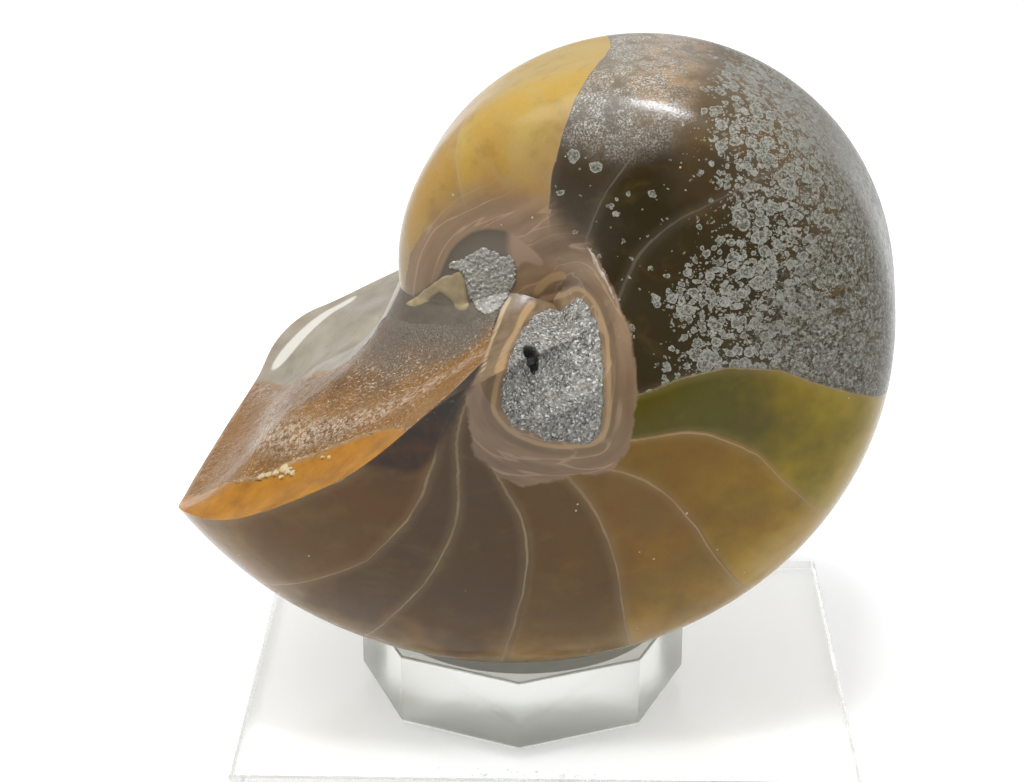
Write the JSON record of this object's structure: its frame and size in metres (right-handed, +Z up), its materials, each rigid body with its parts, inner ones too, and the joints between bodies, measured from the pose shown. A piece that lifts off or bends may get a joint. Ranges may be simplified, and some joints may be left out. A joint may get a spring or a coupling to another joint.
{
  "type": "polished fossil nautilus on a display stand",
  "caption": "Polished chambered nautilus fossil, whole coil with its last septum bare, resting in the dished top of a clear faceted riser on a clear slab.",
  "frame": {"origin": "centre of the underside of the base slab", "axes": "+Z up, +X to the right and +Y away from a viewer who faces the side with the bare umbilical rock; the broken mouth of the fossil points to -X"},
  "size_m": [0.1139, 0.0932, 0.1139],
  "materials": {
    "fossil_calcite": "polished brown and amber calcite, with a frosted crystal septum and grey rock in the umbilicus",
    "acrylic_riser": "clear polished acrylic, faintly green",
    "acrylic_slab": "clear polished acrylic"
  },
  "bodies": {
    "root": {"fossil_nautilus": "fossil_calcite", "riser_block": "acrylic_riser", "base_slab": "acrylic_slab"}
  },
  "joints": []
}
